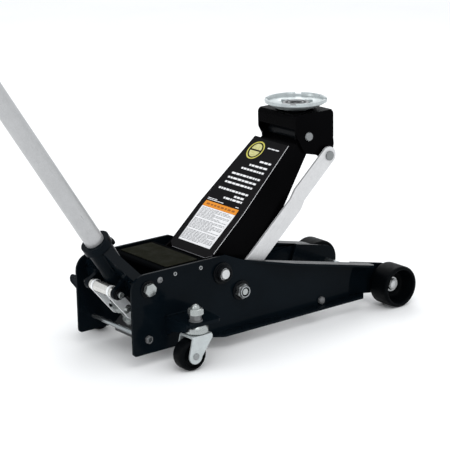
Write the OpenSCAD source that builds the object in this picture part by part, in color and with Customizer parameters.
// Hydraulic floor jack. All sizes are in millimetres.
// +X points to the front wheels, +Y to the left side plate, +Z up. Z = 0 is the ground.
// Sub-parts are drawn in the jack frame, where X = 0 is the rear edge of the side plates,
// and then moved so that the origin is the bottom centre of the whole jack.

/* [Frame] */
// Outer width over the two side plates
frame_w = 160; // [152:1:170]
// Thickness of the side plates
plate_t = 4; // [3:0.5:5]
// Height of the plates' lower edge above the ground
plate_z0 = 22; // [18:1:26]
// Height of the plates' top edge
plate_z1 = 153.5; // [150:0.5:158]
// Width of the flanges along the front half of the plates
flange_w = 18; // [12:1:20]
// Thickness of the top cover
cover_t = 3; // [2:0.5:4]

/* [Lift arm] */
// Height of the arm shaft above the ground
arm_shaft_z = 125; // [122:1:128]
// Distance of the arm shaft from the rear edge of the plates
arm_shaft_x = 178; // [176:1:180]
// Distance between the arm's two pivots
arm_len = 283; // [275:1:290]
// Angle of the arm above horizontal, as it stands
arm_angle = 41.5; // [30:0.5:50]
// Half width of the arm at its foot
arm_half_foot = 59.3; // [56:0.1:60]
// Half width of the arm at its head
arm_half_head = 43.8; // [42:0.1:44]
// Distance from the shaft at which the arm starts to narrow
arm_kink = 105; // [95:1:120]
// Thickness of the arm's sheet
arm_t = 4; // [3:0.5:5]
// Distance of the ram pin below the arm shaft
ram_lever = 40; // [38:1:42]

/* [Links] */
// Forward offset of the link pivots from the arm pivots
link_dx = 37.5; // [34:0.5:40]
// Drop of the link pivots below the arm pivots
link_dz = 37; // [34:0.5:38]
// Width of the link bars
link_w = 31; // [26:1:31]
// Thickness of the link bars
link_t = 5; // [4:0.5:5]

/* [Saddle head] */
// Outer width of the saddle bracket
head_w = 100; // [98:1:100]
// Height of the bracket's top face above its pivot
head_top = 39.5; // [37:0.5:42]
// Radius of the saddle's rim
saddle_r = 53; // [45:1:58]
// Height of the saddle's rim above the bracket's top face
saddle_h = 17; // [14:1:20]

/* [Front wheels] */
// Radius of the front wheels
wheel_r = 36.4; // [34:0.2:37]
// Width of the front wheels
wheel_w = 43; // [38:1:44]
// Distance of the front axle from the rear edge of the plates
wheel_x = 532; // [528:1:535]
// Depth of the wheel's hub below its outer face
hub_deep = 26; // [20:1:27]

/* [Casters] */
// Radius of the caster wheels
caster_r = 25.5; // [24:0.1:25.5]
// Width of the caster wheels
caster_w = 27; // [22:1:28]
// Distance of the caster stems from the middle of the jack
caster_y = 130.4; // [129:0.1:132]
// Distance of the caster stems from the rear edge of the plates
caster_x = 86; // [84:1:90]
// Trail of the caster wheels behind their stems
caster_trail = 14; // [12:1:17]

/* [Handle] */
// Distance of the handle pivot from the rear edge of the plates
pivot_x = 31.7; // [31:0.1:33]
// Height of the handle pivot
pivot_z = 128.7; // [127:0.1:130]
// Lean of the handle away from vertical, towards the rear
handle_lean = 32.25; // [25:0.25:40]
// Radius of the lower handle tube
handle_r = 16; // [15:0.5:16]
// Length of the handle from its pivot to its free end
handle_len = 1015; // [900:5:1100]
// Where the two handle tubes meet, measured from the pivot
handle_split = 560; // [500:5:620]

/* [Hydraulic unit] */
// Height of the ram's axis
ram_z = 88; // [86:1:90]
// Radius of the ram
ram_r = 14; // [12:0.5:15]
// Radius of the reservoir shell
reservoir_r = 32; // [31:0.5:33]
// Slope of the pump's axis below horizontal
pump_slope = 51; // [50:0.5:52]
// Distance between the two pivots of a pump link
pump_link_len = 46; // [45:0.5:47]

/* [Hidden] */
$fn = 48;

half_w = frame_w / 2;
inner_w = half_w - plate_t;
// Radial clearance of a running fit
run = 0.05;
// Gap between moving bodies
gap = 0.3;
// Cutters reach this far past a face
cut = 1;

// Handle frame: distance from the pivot runs along +Z
handle_back = handle_len * sin(handle_lean);
grip_r = 17.5;
rear_x = pivot_x - handle_back - grip_r * cos(handle_lean);
front_x = wheel_x + wheel_r;
centre_x = (rear_x + front_x) / 2;

arm_shaft_r = 10;
head_x = arm_shaft_x + arm_len * cos(arm_angle);
head_z = arm_shaft_z + arm_len * sin(arm_angle);
link_x = arm_shaft_x + link_dx;
link_z = arm_shaft_z - link_dz;
head_link_x = head_x + link_dx;
head_link_z = head_z - link_dz;
head_half = head_w / 2;
head_t = 3;
head_bolt_r = 7;
link_bolt_r = 8;
link_top_bolt_r = 6;
link_outer_y = 60;
link_inner_y = head_half + 4;
saddle_x = head_x + 14;
saddle_z = head_z + head_top;
stem_r = 12;

// The ram pin's direction from the arm shaft, measured in the arm's own frame
ram_pin_angle = -112;
ram_pin_r = 8;
ram_pin_x = arm_shaft_x + ram_lever * cos(arm_angle + ram_pin_angle);
ram_head_gap = 1.1;
ram_head_x = ram_pin_x - ram_pin_r - ram_head_gap;
ram_head_t = 10;
block_x = 74;
cylinder_x = 134;
spring_y = 41;
spring_r = 6;

roller_x = 2;
roller_z = 117;
pump_block_dist = pump_link_len + 38;
pump_link_y = 19.5;
pump_link_t = 4.5;

stem_bottom_z = 51;
fork_top = 58;
ledge_z = 72;
ledge_t = 5;
ledge_x0 = 62;
ledge_y1 = 145;

// ---- Points and outlines ----

function unit(v) = v / norm(v);

// Points along an arc about c, from angle a0 to angle a1
function arc(c, r, a0, a1, n = 8) = [
    for (i = [0:n]) let (a = a0 + (a1 - a0) * i / n) [c.x + r * cos(a), c.y + r * sin(a)]];

// The points that round the corner p1 with radius r
function corner(p0, p1, p2, r, n = 6) = r <= 0 ? [p1] :
    let (u = unit(p0 - p1), v = unit(p2 - p1), half = acos(u * v) / 2)
    let (a = p1 + u * r / tan(half), b = p1 + v * r / tan(half))
    let (c = p1 + unit(u + v) * r / sin(half))
    let (a0 = atan2(a.y - c.y, a.x - c.x), a1 = atan2(b.y - c.y, b.x - c.x))
    let (turn = a1 - a0 > 180 ? a1 - a0 - 360 : a1 - a0 < -180 ? a1 - a0 + 360 : a1 - a0)
    arc(c, r, a0, a0 + turn, n);

// An outline of [x, y, corner radius] points as plain points
function rounded(ps) = [
    for (i = [0:len(ps) - 1])
        let (p0 = ps[(i + len(ps) - 1) % len(ps)], p1 = ps[i], p2 = ps[(i + 1) % len(ps)])
        each corner([p0.x, p0.y], [p1.x, p1.y], [p2.x, p2.y], p1[2])];

// The outline of a bar with a round end of radius r1 at p and r2 at q
function bar(p, q, r1, r2) =
    let (d = norm(q - p), a = atan2(q.y - p.y, q.x - p.x), b = acos((r1 - r2) / d))
    concat(arc(q, r2, a - b, a + b, 12), arc(p, r1, a + b, a - b + 360, 12));

// ---- Placing ----

// Moves the jack frame so that the origin is the jack's bottom centre
module jack() {
    translate([-centre_x, 0, 0]) children();
}

// Draws a left-hand piece on the left (side = 1) or mirrored on the right (side = -1)
module on_side(side) {
    if (side > 0) children();
    else mirror([0, 1, 0]) children();
}

module both_sides() {
    children();
    mirror([0, 1, 0]) children();
}

// Extrudes an XZ outline from y0 to y1
module slab(y0, y1) {
    translate([0, y1, 0]) rotate([90, 0, 0]) linear_extrude(y1 - y0) children();
}

// A cylinder along Y from y0 to y1
module cross(x, z, r, y0, y1, sides = $fn) {
    translate([x, y0, z]) rotate([-90, 0, 0]) cylinder(h = y1 - y0, r = r, $fn = sides);
}

// A cylinder along X from x0 to x1
module lengthwise(x0, x1, y, z, r) {
    translate([x0, y, z]) rotate([0, 90, 0]) cylinder(h = x1 - x0, r = r);
}

// The arm's own frame: X along the arm from its shaft, Z normal to it
module in_arm() {
    translate([arm_shaft_x, 0, arm_shaft_z]) rotate([0, -arm_angle, 0]) children();
}

module in_link() {
    translate([link_x, 0, link_z]) rotate([0, -arm_angle, 0]) children();
}

// The handle's frame: Z along the handle from its pivot
module in_handle() {
    translate([pivot_x, 0, pivot_z]) rotate([0, -handle_lean, 0]) children();
}

// The pump's frame: Z along the pump's axis from the roller pin, down and forwards
module in_pump() {
    translate([roller_x, 0, roller_z]) rotate([0, 90 + pump_slope, 0]) children();
}

// A hexagon nut along Y on the outside of the left plate, from y0 to y1
module nut_y(x, z, across, bore_r, y0, y1) {
    difference() {
        cross(x, z, across / sqrt(3), y0, y1, 6);
        cross(x, z, bore_r, y0 - cut, y1 + cut);
    }
}

// ---- Side plates ----

plate_outline = rounded([
    [0, plate_z0, 6], [0, plate_z1, 26], [187, plate_z1, 10], [222, 138, 14], [500, 75.5, 6],
    [551, 64, 22], [553, 12, 24], [486, plate_z0, 0]]);
// The plate steps inwards around the front wheel inside this radius
step_r = 80;
step_in = 6;

module around_wheel(r) {
    translate([wheel_x, wheel_r]) circle(r);
}

// A strip that follows the sloping top edge, or the level bottom edge, of the plate
module top_strip() {
    slab(inner_w, half_w + flange_w)
        polygon([[222, 138], [500, 75.5], [500, 71.5], [222, 134]]);
}

module flange_plan(points) {
    linear_extrude(plate_z1) polygon(points);
}

module side_plate() {
    difference() {
        union() {
            slab(inner_w, half_w) difference() {
                polygon(plate_outline);
                around_wheel(step_r);
            }
            slab(inner_w - step_in, half_w - step_in) intersection() {
                polygon(plate_outline);
                around_wheel(step_r + plate_t);
            }
            slab(inner_w - step_in, half_w) intersection() {
                polygon(plate_outline);
                difference() {
                    around_wheel(step_r + plate_t);
                    around_wheel(step_r);
                }
            }
            intersection() {
                top_strip();
                flange_plan(rounded([[222, inner_w, 0], [500, inner_w, 0], [500, half_w + flange_w, 10],
                    [320, half_w + flange_w, 60], [234, half_w, 0], [222, half_w, 0]]));
            }
            translate([0, 0, plate_z0]) linear_extrude(plate_t)
                polygon(rounded([[146, inner_w, 0], [484, inner_w, 0], [486, half_w, 0],
                    [470, half_w + flange_w, 6], [168, half_w + flange_w, 14], [146, half_w, 0]]));
        }
        cross(pivot_x, pivot_z, 8, inner_w - cut, half_w + cut);
        cross(arm_shaft_x, arm_shaft_z, arm_shaft_r, inner_w - cut, half_w + cut);
        cross(link_x, link_z, link_bolt_r, inner_w - cut, half_w + cut);
        cross(wheel_x, wheel_r, 8, inner_w - step_in - cut, half_w + cut);
        for (rod = tie_rods) cross(rod.x, rod.y, rod[2], inner_w - cut, half_w + cut);
        for (p = rivet_places) cross(p.x, p.y, 2.5, inner_w - cut, half_w + cut);
        cross(55.5, 138.6, 3, inner_w - cut, half_w + cut);
    }
}

module side_plate_left() {
    color("#16191d") jack() side_plate();
}

module side_plate_right() {
    color("#16191d") jack() on_side(-1) side_plate();
}

// ---- Cover ----

rivet_places = [[84.6, 143.1], [135.4, 142.5]];
cover_x0 = 64;
cover_x1 = 150;
cover_top = 151;

module top_cover() {
    color("#14171a") jack() {
        difference() {
            union() {
                slab(-inner_w, inner_w) polygon(rounded([
                    [cover_x0, cover_top, 5], [cover_x1, cover_top, 0], [cover_x1, cover_top - cover_t, 0],
                    [cover_x0 + cover_t, cover_top - cover_t, 2], [cover_x0 + cover_t, 134, 0],
                    [cover_x0, 134, 0]]));
                both_sides() translate([cover_x0 + 1, inner_w - cover_t, 134])
                    cube([cover_x1 - cover_x0 - 1, cover_t, cover_top - 134]);
                both_sides() translate([46, inner_w - cover_t, 132])
                    cube([cover_x0 - 46 + 2, cover_t, 13]);
            }
            both_sides() {
                for (p = rivet_places) cross(p.x, p.y, 2.5, inner_w - cover_t - cut, inner_w + cut);
                cross(55.5, 138.6, 3, inner_w - cover_t - cut, inner_w + cut);
            }
        }
    }
}

module cover_pad() {
    color("#4a4c45") jack() translate([79, 0, cover_top]) linear_extrude(1.2)
        polygon(rounded([[0, -64, 3], [63, -64, 3], [63, 64, 3], [0, 64, 3]]));
}

// A rivet with a low round head outside the left plate
module rivet(x, z, shank_r, head_r) {
    cross(x, z, shank_r, inner_w - cover_t - 1, half_w);
    translate([x, half_w, z]) rotate([-90, 0, 0]) cylinder(h = 1.6, r1 = head_r, r2 = head_r * 0.6);
}

module cover_rivets() {
    color("#8d9196") jack() both_sides() for (p = rivet_places) rivet(p.x, p.y, 2.5, 3.6);
}

module cover_screws() {
    color("#b9bdc2") jack() both_sides() difference() {
        rivet(55.5, 138.6, 3, 5.2);
        cross(55.5, 138.6, 2, half_w + 0.4, half_w + 3, 6);
    }
}

// ---- Tie rods ----

// Each tie rod's place and radius
tie_rods = [[29, 46, 4], [388, 33, 5]];

module tie_rod(i) {
    cross(tie_rods[i].x, tie_rods[i].y, tie_rods[i][2], -half_w - 5, half_w + 5);
}

module rear_tie_rod() {
    color("#b4b8bd") jack() tie_rod(0);
}

module front_tie_rod() {
    color("#9ea3a8") jack() tie_rod(1);
}

module tie_rod_nuts() {
    color("#b9bdc2") jack() both_sides() for (rod = tie_rods)
        nut_y(rod.x, rod.y, 13, rod[2], half_w, half_w + 4.5);
}

// ---- Casters ----

module at_caster() {
    translate([caster_x, caster_y, 0]) children();
}

// A ledge with a flange that hangs from its rear edge
module caster_bracket() {
    top = ledge_z + ledge_t;
    difference() {
        union() {
            translate([0, 0, ledge_z]) linear_extrude(ledge_t)
                polygon(rounded([[ledge_x0, half_w, 0], [132, half_w, 0], [126, ledge_y1, 8],
                    [ledge_x0, ledge_y1, 8]]));
            translate([ledge_x0, 0, 0]) rotate([90, 0, 90]) linear_extrude(3.5)
                polygon([[half_w, top], [ledge_y1 - 8, top], [ledge_y1 - 8, 64.5], [100, 56], [84, 46],
                    [half_w, 46]]);
        }
        at_caster() translate([0, 0, ledge_z - cut]) cylinder(h = ledge_t + 2 * cut, r = 6);
    }
}

// The small triangular shelf above and behind the left caster
module side_shelf() {
    x0 = 29;
    top = 97.5;
    translate([0, 0, top - 3]) linear_extrude(3)
        polygon(rounded([[x0, half_w, 0], [72, half_w, 0], [66, 140, 6], [x0, ledge_y1, 6]]));
    translate([x0, 0, 0]) rotate([90, 0, 90]) linear_extrude(3)
        polygon([[half_w, top - 1], [ledge_y1 - 6, top - 1], [ledge_y1 - 6, top - 5], [half_w, 61]]);
}

module caster_brackets() {
    color("#14171a") jack() {
        both_sides() caster_bracket();
        side_shelf();
    }
}

nut_stack_z = ledge_z + ledge_t;
stem_top = nut_stack_z + 21;

module caster_stems() {
    color("#c3c7cb") jack() both_sides() at_caster() {
        translate([0, 0, stem_bottom_z]) cylinder(h = 2.5, r1 = 8, r2 = 9);
        translate([0, 0, stem_bottom_z + 2.5]) cylinder(h = stem_top - stem_bottom_z - 2.5, r = 6);
    }
}

// A hexagon nut along Z with a bore for the caster's stem
module stem_nut(z, h, across) {
    translate([0, 0, z]) difference() {
        cylinder(h = h, r = across / sqrt(3), $fn = 6);
        translate([0, 0, -cut]) cylinder(h = h + 2 * cut, r = 6);
    }
}

module stem_washer(z, h, r) {
    translate([0, 0, z]) difference() {
        cylinder(h = h, r = r);
        translate([0, 0, -cut]) cylinder(h = h + 2 * cut, r = 6);
    }
}

module caster_nuts() {
    color("#c9cccf") jack() both_sides() at_caster() {
        stem_washer(nut_stack_z, 2, 11);
        stem_nut(nut_stack_z + 2, 9, 17);
        stem_nut(nut_stack_z + 11, 10, 22);
        translate([0, 0, stem_top]) rotate_extrude($fn = 48)
            polygon(concat([[0, 0]], arc([0, 0], 7, 0, 90, 10)));
    }
}

module caster_races() {
    h = ledge_z - fork_top - gap;
    color("#c3c7cb") jack() both_sides() at_caster() difference() {
        translate([0, 0, fork_top + gap]) rotate_extrude($fn = 64)
            polygon([[0, 0], [17, 0], [20, 2.5], [19.4, h - 5], [16, h], [0, h]]);
        translate([0, 0, fork_top - cut]) cylinder(h = h + 2 * cut + 1, r = 6);
    }
}

fork_leg_y = caster_w / 2 + 1.2;
fork_t = 3;

module caster_fork() {
    color("#c3c7cb") difference() {
        union() {
            translate([0, 0, fork_top - 4]) linear_extrude(4)
                polygon(rounded([[-19, -fork_leg_y - fork_t, 3], [19, -fork_leg_y - fork_t, 3],
                    [19, fork_leg_y + fork_t, 3], [-19, fork_leg_y + fork_t, 3]]));
            for (s = [-1, 1]) on_side(s) slab(fork_leg_y, fork_leg_y + fork_t)
                polygon(concat(arc([-caster_trail, caster_r], 12.6, 160, 350, 14),
                    [[19, fork_top - 7], [19, fork_top - 2], [-19, fork_top - 2]]));
        }
        translate([0, 0, 50]) cylinder(h = 12, r = 6 + run);
        cross(-caster_trail, caster_r, 4, -fork_leg_y - fork_t - cut, fork_leg_y + fork_t + cut);
    }
}

module caster_axle() {
    color("#a9adb2") {
        cross(-caster_trail, caster_r, 4, -fork_leg_y - fork_t - 0.5, fork_leg_y + fork_t + 0.5);
        for (s = [-1, 1]) on_side(s)
            cross(-caster_trail, caster_r, 5.5, fork_leg_y + fork_t, fork_leg_y + fork_t + 1.6);
    }
}

module caster_wheel() {
    w = caster_w / 2;
    color("#101112") translate([-caster_trail, 0, caster_r]) rotate([90, 0, 0]) difference() {
        rotate_extrude($fn = 64) polygon([
            [0, -w], [10, -w], [12, -w + 4], [18, -w + 4], [20, -w], [23, -w + 0.8], [24.8, -w + 3.2],
            [caster_r, -w + 7], [caster_r, w - 7], [24.8, w - 3.2], [23, w - 0.8], [20, w],
            [18, w - 4], [12, w - 4], [10, w], [0, w]]);
        translate([0, 0, -w - cut]) cylinder(h = 2 * w + 2 * cut, r = 4 + run);
    }
}

module caster_fork_left() {
    jack() at_caster() caster_fork();
}

module caster_fork_right() {
    jack() on_side(-1) at_caster() caster_fork();
}

module caster_axle_left() {
    jack() at_caster() caster_axle();
}

module caster_axle_right() {
    jack() on_side(-1) at_caster() caster_axle();
}

module caster_wheel_left() {
    jack() at_caster() caster_wheel();
}

module caster_wheel_right() {
    jack() on_side(-1) at_caster() caster_wheel();
}

// ---- Front wheels ----

wheel_y0 = 84.2;
hub_y = wheel_y0 + wheel_w - hub_deep;
axle_r = 8;

module front_wheel() {
    w = wheel_w;
    color("#121314") translate([wheel_x, wheel_y0, wheel_r]) rotate([-90, 0, 0]) difference() {
        rotate_extrude($fn = 96) polygon([
            [0, 0], [24, 0], [26, 5], [31, 5], [33, 0], [34.6, 0.8], [wheel_r, 4],
            [wheel_r, w - 5], [35.6, w - 2], [34, w - 0.5], [32, w], [30.5, w - 0.5],
            [29, w - 4], [28, w - 10], [24, w - hub_deep + 2], [14, w - hub_deep - 1],
            [13, w - hub_deep], [0, w - hub_deep]]);
        translate([0, 0, -cut]) cylinder(h = w + 2 * cut, r = axle_r + run);
    }
}

module front_wheel_left() {
    jack() front_wheel();
}

module front_wheel_right() {
    jack() on_side(-1) front_wheel();
}

module front_axle() {
    color("#9ea3a8") jack() cross(wheel_x, wheel_r, axle_r, -hub_y - 4.5, hub_y + 4.5);
}

// Thrust washers inside and outside each wheel
module front_axle_washers() {
    y_in = half_w - step_in;
    y_out = hub_y + gap;
    color("#b4b8bd") jack() both_sides() difference() {
        union() {
            cross(wheel_x, wheel_r, 12, y_in, wheel_y0 - gap);
            cross(wheel_x, wheel_r, 13, y_out, y_out + 1.5);
        }
        cross(wheel_x, wheel_r, axle_r, y_in - cut, y_out + 10);
    }
}

module front_axle_nuts() {
    y0 = hub_y + gap + 1.5;
    color("#c3c7cb") jack() both_sides() difference() {
        union() {
            cross(wheel_x, wheel_r, 18 / sqrt(3), y0, y0 + 4, 6);
            cross(wheel_x, wheel_r, 8.2, y0 + 4, y0 + 5.5);
        }
        cross(wheel_x, wheel_r, axle_r, y0 - cut, hub_y + 4.5);
    }
}

// ---- Pivots on the side plates ----

module arm_shaft() {
    color("#c3c7cb") jack() {
        cross(arm_shaft_x, arm_shaft_z, arm_shaft_r, -half_w - 8, half_w + 8);
        both_sides() translate([arm_shaft_x, half_w + 8, arm_shaft_z]) rotate([-90, 0, 0])
            cylinder(h = 3.6, r1 = 8.8, r2 = 7.6);
    }
}

module arm_shaft_collars() {
    color("#111315") jack() both_sides() difference() {
        union() {
            cross(arm_shaft_x, arm_shaft_z, 18, half_w, half_w + 3);
            cross(arm_shaft_x, arm_shaft_z, 14, half_w + 3, half_w + 8);
        }
        cross(arm_shaft_x, arm_shaft_z, arm_shaft_r, half_w - cut, half_w + 10);
    }
}

module link_lower_bolts() {
    color("#b9bdc2") jack() both_sides() cross(link_x, link_z, link_bolt_r, link_outer_y, half_w + 13);
}

module link_spacers() {
    y0 = link_outer_y + link_t + gap;
    color("#1a1c1e") jack() both_sides() {
        difference() {
            cross(link_x, link_z, 14, y0, inner_w);
            cross(link_x, link_z, link_bolt_r, y0 - cut, inner_w + cut);
        }
        difference() {
            cross(link_x, link_z, 16.5, half_w, half_w + 3);
            cross(link_x, link_z, link_bolt_r, half_w - cut, half_w + 4);
        }
    }
}

module link_lock_nuts() {
    y0 = half_w + 3;
    color("#c3c7cb") jack() both_sides() difference() {
        union() {
            cross(link_x, link_z, 22 / sqrt(3), y0, y0 + 8, 6);
            cross(link_x, link_z, 10, y0 + 8, y0 + 11.5);
        }
        cross(link_x, link_z, link_bolt_r, y0 - cut, y0 + 15);
    }
}

module handle_pivot_bolts() {
    color("#c3c7cb") jack() both_sides() {
        cross(pivot_x, pivot_z, 8, 48, half_w);
        cross(pivot_x, pivot_z, 14, half_w, half_w + 2);
        cross(pivot_x, pivot_z, 19 / sqrt(3), half_w + 2, half_w + 9.5, 6);
    }
}

// ---- Hydraulic unit ----

module power_unit_block() {
    color("#2a2d31") jack() difference() {
        union() {
            slab(-35, 35) polygon([[43, 28], [43, 42.1], [67.3, 61.8], [60, 78], [41.9, 90.1],
                [62.1, 102.9], [62.1, 118], [block_x, 118], [block_x, 28]]);
            translate([64, -inner_w, 70]) cube([block_x - 64, 2 * inner_w, 48]);
        }
        lengthwise(68, block_x + cut, 0, ram_z, ram_r + run);
        in_handle() translate([0, 0, -60]) cylinder(h = 40, r = 5 + run);
        in_pump() translate([0, 0, pump_block_dist - cut]) cylinder(h = 17, r = 7 + run);
    }
}

module ram_cylinder() {
    color("#3a3d41") jack() difference() {
        lengthwise(block_x, cylinder_x, 0, ram_z, 22);
        lengthwise(block_x - cut, cylinder_x + cut, 0, ram_z, ram_r + run);
    }
}

module reservoir_shell() {
    color("#1c1f22") jack() difference() {
        lengthwise(block_x, cylinder_x - 8, 0, ram_z, reservoir_r);
        lengthwise(block_x - cut, cylinder_x, 0, ram_z, reservoir_r - 3);
    }
}

module gland_nut() {
    color("#33363a") jack() difference() {
        lengthwise(cylinder_x - 8, cylinder_x, 0, ram_z, reservoir_r);
        lengthwise(cylinder_x - 8 - cut, cylinder_x + cut, 0, ram_z, 22);
    }
}

module filler_plug() {
    color("#202224") jack() translate([68, 20, 118]) {
        cylinder(h = 3, r = 5.5);
        translate([0, 0, 3]) cylinder(h = 3, r = 4, $fn = 6);
    }
}

module pump_cylinder() {
    color("#a9adb2") jack() in_pump() difference() {
        translate([0, 0, pump_block_dist - 12]) cylinder(h = 12, r = 12);
        translate([0, 0, pump_block_dist - 13]) cylinder(h = 14, r = 7 + run);
    }
}

module return_springs() {
    color("#8d9196") jack() both_sides()
        lengthwise(block_x + 0.1, ram_head_x - ram_head_t - 0.1, spring_y, ram_z, spring_r);
}

module ram_rod() {
    color("#d7dadd") jack() lengthwise(105, ram_head_x - ram_head_t, 0, ram_z, ram_r);
}

module ram_head() {
    color("#33363a") jack() translate([ram_head_x - ram_head_t, -50, ram_z - 15])
        cube([ram_head_t, 100, 30]);
}

// ---- Lift arm ----

arm_top = 19;
arm_top_end = arm_len - 34;
// The top sheet's foot, with its corners cut back
arm_top_foot = 6;
arm_top_corner = [8, 14];
arm_deep = 44;
// The arm's lower edge is level up to this distance from the shaft
arm_level = 160;
// Place of the plate that ties the two sides of the arm
arm_plate = 150;

// Half width of the arm at distance s from its shaft
function arm_half(s) = s < arm_kink ? arm_half_foot
    : arm_half_foot + (arm_half_head - arm_half_foot) * (s - arm_kink) / (arm_len - arm_kink);

module arm_plan(inset) {
    s0 = -60;
    s1 = arm_len + 30;
    linear_extrude(140, center = true) polygon([
        [s0, -arm_half(s0) + inset], [arm_kink, -arm_half(arm_kink) + inset],
        [s1, -arm_half(s1) + inset], [s1, arm_half(s1) - inset],
        [arm_kink, arm_half(arm_kink) - inset], [s0, arm_half(s0) - inset]]);
}

module arm_side_outline() {
    pin = ram_lever * [cos(ram_pin_angle), sin(ram_pin_angle)];
    end = concat(
        arc([0, 0], 22, 90, 200, 12), arc(pin, 14, 200, 290, 8),
        [[40, -arm_deep], [arm_level, -arm_deep]],
        arc([arm_len, 0], 18, -104, 100, 16),
        [[arm_len - 20, 15], [arm_len - 25, 8], [arm_top_end, 8], [arm_top_end, arm_top]]);
    polygon(concat(end, [[arm_top_foot + arm_top_corner.x, arm_top]]));
}

module arm_top_sheet() {
    y = arm_half_foot;
    polygon([[arm_top_foot + arm_top_corner.x, y], [arm_top_end, y], [arm_top_end, -y],
        [arm_top_foot + arm_top_corner.x, -y], [arm_top_foot, -y + arm_top_corner.y],
        [arm_top_foot, y - arm_top_corner.y]]);
}

module lift_arm() {
    color("#15181b") jack() in_arm() difference() {
        union() {
            difference() {
                intersection() {
                    slab(-80, 80) arm_side_outline();
                    arm_plan(0);
                }
                arm_plan(arm_t);
            }
            intersection() {
                translate([0, 0, arm_top - arm_t]) linear_extrude(arm_t) arm_top_sheet();
                arm_plan(0);
            }
            cross(0, 0, 16, -arm_half(0) + 1, arm_half(0) - 1);
            translate([arm_plate, -arm_half(arm_plate) + 1, 3 - arm_deep])
                cube([4, 2 * arm_half(arm_plate) - 2, arm_deep + arm_top - 6]);
        }
        cross(0, 0, arm_shaft_r + run, -80, 80);
        cross(arm_len, 0, head_bolt_r + run, -80, 80);
        rotate([0, -ram_pin_angle, 0]) cross(ram_lever, 0, ram_pin_r, -80, 80);
    }
}

module ram_pin() {
    color("#a9adb2") jack() in_arm() rotate([0, -ram_pin_angle, 0])
        cross(ram_lever, 0, ram_pin_r, -arm_half(0), arm_half(0));
}

// ---- Links ----

// The bar bends inwards between these distances from its lower pivot
link_bend0 = 176;
link_bend1 = 196;

module link() {
    shift = link_outer_y - link_inner_y;
    difference() {
        intersection() {
            slab(40, 80) polygon(link_outline());
            linear_extrude(100, center = true) polygon([
                [-40, link_outer_y], [link_bend0, link_outer_y], [link_bend1, link_outer_y - shift],
                [arm_len + 40, link_inner_y], [arm_len + 40, link_inner_y + link_t],
                [link_bend1 + 1, link_inner_y + link_t], [link_bend0 + 1, link_outer_y + link_t],
                [-40, link_outer_y + link_t]]);
        }
        cross(0, 0, link_bolt_r + run, 40, 80);
        cross(arm_len, 0, link_top_bolt_r + run, 40, 80);
    }
}

// Wide bar, narrower above the bend, with round ends
function link_outline() = concat(
    arc([0, 0], link_w / 2, 90, 270, 12),
    [[link_bend1 - 14, -link_w / 2], [link_bend1, -link_w / 2 + 1]],
    arc([arm_len, 0.5], link_w / 2 - 0.5, -80, 80, 12),
    [[link_bend1, link_w / 2], [link_bend1 - 14, link_w / 2]]);

module link_left() {
    color("#c9ccd0") jack() in_link() link();
}

module link_right() {
    color("#c9ccd0") jack() on_side(-1) in_link() link();
}

// ---- Saddle head ----

module at_head() {
    translate([head_x, 0, head_z]) children();
}

head_back = -28.5;
head_front = 55.5;
head_wall_z = 15.5;
// How far the front wall hangs below the pivot
head_front_z = -8;

module head_side_outline() {
    polygon(concat(
        rounded([[head_front, head_top, 8], [head_back, head_top, 8], [head_back, 7, 14], [-9, -28, 12],
            [14, -33.5, 0], [20, -36, 0]]),
        arc([link_dx, -link_dz], 15, -120, 0, 10),
        [[head_front, -20]]));
}

module saddle_bracket() {
    color("#14171a") jack() at_head() difference() {
        union() {
            both_sides() slab(head_half - head_t, head_half) head_side_outline();
            translate([0, 0, head_top - head_t]) linear_extrude(head_t) polygon([
                [head_back + 4, -head_half + 1], [head_front - 4, -head_half + 1],
                [head_front - 4, head_half - 1], [head_back + 4, head_half - 1]]);
            intersection() {
                slab(-head_half + 1, head_half - 1)
                    polygon(rounded([[head_back, head_wall_z, 0], [head_back + 5, head_wall_z, 0],
                        [head_back + 4, head_top - 6, 0], [head_back + 10, head_top, 0],
                        [head_back, head_top, 8]]));
                translate([-100, -head_half, -50]) cube([200, head_w, 100]);
            }
            slab(-head_half + 1, head_half - 1) polygon(rounded([
                [head_front, head_top, 8], [head_front - 10, head_top, 0],
                [head_front - 4, head_top - 7, 0], [head_front - 4, head_front_z, 0],
                [head_front, head_front_z, 0]]));
        }
        cross(0, 0, head_bolt_r, -60, 60);
        cross(link_dx, -link_dz, link_top_bolt_r, -60, 60);
        translate([saddle_x - head_x, 0, 0]) cylinder(h = 60, r = stem_r + run);
    }
}

module head_pivot_bolt() {
    color("#c3c7cb") jack() at_head() {
        cross(0, 0, head_bolt_r, -head_half, head_half + 5);
        translate([0, -head_half, 0]) rotate([90, 0, 0]) cylinder(h = 3, r1 = 8.2, r2 = 6.5);
    }
}

module head_pivot_nut() {
    color("#c3c7cb") jack() at_head() nut_y(0, 0, 19, head_bolt_r, head_half, head_half + 5);
}

module link_upper_bolts() {
    y1 = link_inner_y + link_t + gap;
    color("#b9bdc2") jack() at_head() both_sides() {
        cross(link_dx, -link_dz, link_top_bolt_r, head_half - head_t - 3, y1);
        cross(link_dx, -link_dz, 10, head_half, link_inner_y - gap);
        cross(link_dx, -link_dz, 8.2, y1, y1 + 2.4);
        cross(link_dx, -link_dz, 8.2, head_half - head_t - 5, head_half - head_t);
    }
}

// ---- Saddle ----

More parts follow.
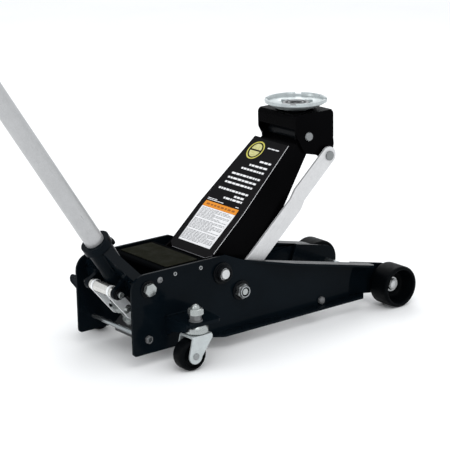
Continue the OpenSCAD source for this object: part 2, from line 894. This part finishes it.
module saddle() {
    h = saddle_h - gap;
    r = saddle_r;
    color("#d3d8da") jack() translate([saddle_x, 0, saddle_z + gap]) {
        difference() {
            rotate_extrude($fn = 96) polygon([
                [0, 0], [30, 0], [36, 2.5], [r - 3.5, 9.5], [r, 11.5], [r, h - 1.2], [r - 1.2, h],
                [r - 4.2, h], [r - 5.2, h - 1], [r - 6.5, 11], [33, 7.2], [24, 6.2], [22, 4.2], [0, 4.2]]);
            for (a = [45:90:315]) rotate([0, 0, a]) translate([r - 8, -5, h - 3]) cube([12, 10, 6]);
        }
        for (a = [0:90:270]) rotate([0, 0, a]) translate([24, -5, 5]) cube([9, 10, 5]);
        translate([0, 0, -head_t - 8]) cylinder(h = head_t + 9, r = stem_r);
    }
}

module saddle_ring() {
    z = saddle_z - head_t - 4;
    color("#8d9196") jack() translate([saddle_x, 0, z]) difference() {
        cylinder(h = 2.4, r = 16);
        translate([0, 0, -cut]) cylinder(h = 5, r = stem_r);
    }
}

// ---- Handle socket and pump linkage ----

socket_len = 82;
socket_r = 21;
screw_up = 61;
ear_in = 32;
ear_out = 40;

module handle_socket() {
    color("#14171a") jack() difference() {
        union() {
            in_handle() translate([0, 0, -10]) cylinder(h = socket_len + 10, r = socket_r);
            in_handle() translate([0, 0, socket_len - 12]) cylinder(h = 12, r = socket_r + 3.5);
            in_handle() socket_web();
            cross(pivot_x, pivot_z, 14, -inner_w + 1, inner_w - 1);
            both_sides() slab(ear_in, ear_out)
                polygon(bar([pivot_x, pivot_z], [roller_x, roller_z], 15, 10));
        }
        in_handle() translate([0, 0, -40]) cylinder(h = socket_len + 60, r = handle_r + run);
        both_sides() cross(pivot_x, pivot_z, 8 + run, 46, inner_w + cut);
        cross(roller_x, roller_z, 5, -60, 60);
        in_handle() translate([0, 0, screw_up]) rotate([0, 90, 0]) cylinder(h = 40, r = 4);
    }
}

// The plate that spreads from the socket's tube to its two pivots
module socket_web() {
    foot = inner_w - 1.5;
    rotate([90, 0, 90]) linear_extrude(16, center = true) polygon([
        [-foot, -10], [foot, -10], [foot, 14], [socket_r - 1, 70], [1 - socket_r, 70], [-foot, 14]]);
}

module socket_screw() {
    color("#b9bdc2") jack() in_handle() translate([0, 0, screw_up]) rotate([0, 90, 0]) {
        translate([0, 0, handle_r + 0.5]) cylinder(h = 8, r = 4);
        translate([0, 0, socket_r + 0.3]) cylinder(h = 5, r = 7.5, $fn = 6);
    }
}

module roller_pin() {
    color("#b9bdc2") jack() cross(roller_x, roller_z, 5, -50, 50);
}

// A middle roller and a short one on each side of the links
module pump_roller() {
    color("#cfd2d5") jack() difference() {
        union() {
            cross(roller_x, roller_z, 9.5, -pump_link_y + 0.5, pump_link_y - 0.5);
            both_sides() cross(roller_x, roller_z, 9, pump_link_y + pump_link_t + 0.5, ear_in - 0.5);
        }
        cross(roller_x, roller_z, 5, -60, 60);
    }
}

module roller_clips() {
    color("#1b1d1f") jack() both_sides() difference() {
        union() {
            cross(roller_x, roller_z, 9, ear_out, ear_out + 2);
            cross(roller_x, roller_z, 8, ear_out + 4, ear_out + 5.5);
        }
        cross(roller_x, roller_z, 5, ear_out - cut, ear_out + 10);
    }
}

module pump_links() {
    bore_y = pump_link_y - cut;
    bore_l = pump_link_t + 2 * cut;
    color("#c9ccd0") jack() in_pump() both_sides() difference() {
        translate([0, pump_link_y, 0]) rotate([-90, 0, 0]) linear_extrude(pump_link_t)
            polygon(bar([0, 0], [0, -pump_link_len - 12], 10, 9));
        rotate([-90, 0, 0]) translate([0, 0, bore_y]) cylinder(h = bore_l, r = 5 + run);
        rotate([-90, 0, 0]) translate([0, -pump_link_len, bore_y]) cylinder(h = bore_l, r = 8);
    }
}

module pump_plunger() {
    color("#c3c7cb") jack() in_pump() {
        translate([0, 0, pump_link_len - 5]) cylinder(h = 41, r = 7);
        translate([0, 0, pump_link_len - 5]) cylinder(h = 10, r = 11);
        translate([0, 0, pump_link_len]) cross(0, 0, 4, -26, 26);
    }
}

module release_valve() {
    color("#c3c7cb") jack() in_handle() {
        translate([0, 0, -34]) cylinder(h = 26, r = 5);
        translate([0, 0, -9]) cylinder(h = 4, r = 8);
        translate([0, 0, -5]) cylinder(h = 4, r = 2.4);
    }
}

// ---- Handle ----

module lower_handle() {
    color("#d5d7d9") jack() in_handle() difference() {
        union() {
            translate([0, 0, 20]) cylinder(h = handle_split - 20, r = handle_r);
            translate([0, 0, 4]) cylinder(h = 18, r = 7);
        }
        translate([0, 0, 30]) cylinder(h = handle_split, r = handle_r - 2);
    }
}

upper_r = handle_r - 2 - run;

module upper_handle() {
    color("#d5d7d9") jack() in_handle() difference() {
        translate([0, 0, handle_split - 70]) cylinder(h = handle_len - 5 - handle_split + 70, r = upper_r);
        translate([0, 0, handle_split - 72]) cylinder(h = handle_len - 10 - handle_split + 72, r = upper_r - 2);
    }
}

module hand_grip() {
    color("#17181a") jack() in_handle() difference() {
        translate([0, 0, handle_len - 130]) rotate_extrude($fn = 64) polygon([
            [0, 0], [grip_r - 1.5, 0], [grip_r, 1.5], [grip_r, 128.5], [grip_r, 130], [0, 130]]);
        translate([0, 0, handle_len - 135]) cylinder(h = 130, r = upper_r);
    }
}

// ---- Drawing ----

side_plate_left();
side_plate_right();
top_cover();
cover_pad();
cover_rivets();
cover_screws();
rear_tie_rod();
front_tie_rod();
tie_rod_nuts();
caster_brackets();
caster_stems();
caster_nuts();
caster_races();
arm_shaft();
arm_shaft_collars();
link_lower_bolts();
link_spacers();
link_lock_nuts();
handle_pivot_bolts();
front_axle();
front_axle_washers();
front_axle_nuts();
power_unit_block();
ram_cylinder();
reservoir_shell();
gland_nut();
filler_plug();
pump_cylinder();
return_springs();
lift_arm();
ram_pin();
link_left();
link_right();
saddle_bracket();
head_pivot_bolt();
head_pivot_nut();
link_upper_bolts();
saddle();
saddle_ring();
ram_rod();
ram_head();
handle_socket();
roller_pin();
pump_roller();
roller_clips();
socket_screw();
pump_links();
pump_plunger();
release_valve();
lower_handle();
upper_handle();
hand_grip();
caster_fork_left();
caster_fork_right();
caster_axle_left();
caster_axle_right();
caster_wheel_left();
caster_wheel_right();
front_wheel_left();
front_wheel_right();
